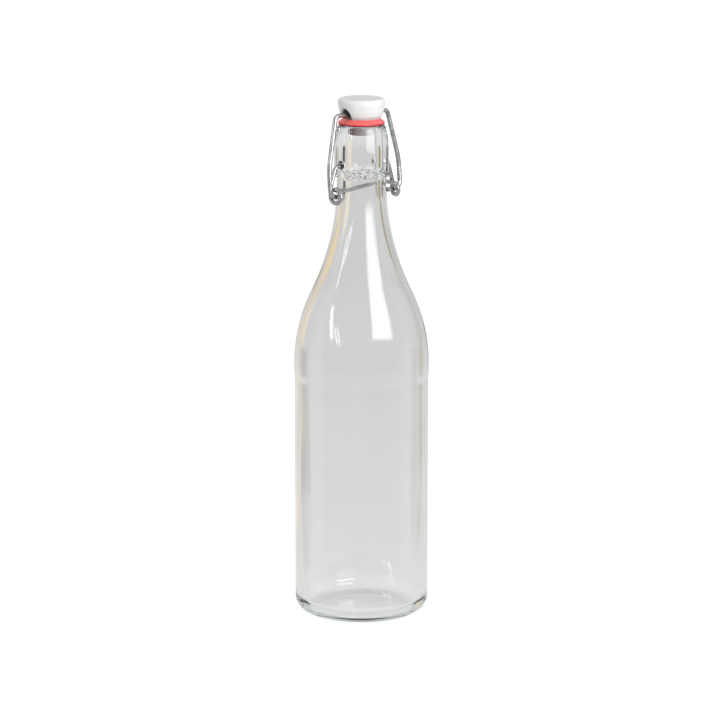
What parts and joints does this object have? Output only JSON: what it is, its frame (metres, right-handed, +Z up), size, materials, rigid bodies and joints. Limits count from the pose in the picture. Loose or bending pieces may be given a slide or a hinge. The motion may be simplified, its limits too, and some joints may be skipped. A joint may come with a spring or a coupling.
{
  "type": "swing-top growler bottle",
  "caption": "Clear round glass bottle with a long tapered neck, closed by a swing-top: a stopper on a rubber gasket, a wire bail through it and a wire lever pivoting in the neck.",
  "frame": {"origin": "centre of the foot, on the surface the bottle stands on", "axes": "+Z up along the bottle's axis; X along the closure's hinge axes; +Y to the side of the lever's thumb loop"},
  "size_m": [0.0868, 0.0868, 0.3351],
  "materials": {
    "clear_glass": "smooth clear moulded glass",
    "white_plastic": "smooth white moulding, soft gloss",
    "red_rubber": "smooth red rubber",
    "bail_steel": "bright drawn steel wire",
    "lever_steel": "bright drawn steel wire"
  },
  "bodies": {
    "bottle": {"bottle": "clear_glass"},
    "lever": {"lever_wire": "lever_steel"},
    "bail": {"bail_wire": "bail_steel"},
    "stopper": {"stopper": "white_plastic", "gasket": "red_rubber"}
  },
  "joints": [
    {"name": "lever_pivot", "type": "hinge", "parent": "bottle", "child": "lever", "pos_m": [0, 0, 0.293], "axis": [1, 0, 0], "range_deg": [0, 80]},
    {"name": "bail_eye", "type": "hinge", "parent": "lever", "child": "bail", "pos_m": [0, -0.004, 0.2746], "axis": [1, 0, 0], "range_deg": [-54, 0]},
    {"name": "stopper_bar", "type": "hinge", "parent": "bail", "child": "stopper", "pos_m": [0, 0, 0.3255], "axis": [1, 0, 0], "range_deg": [-27, 0]}
  ],
  "couplings": [
    {"joint": "bail_eye", "follows": "lever_pivot", "ratio": -0.665},
    {"joint": "stopper_bar", "follows": "lever_pivot", "ratio": -0.335}
  ]
}
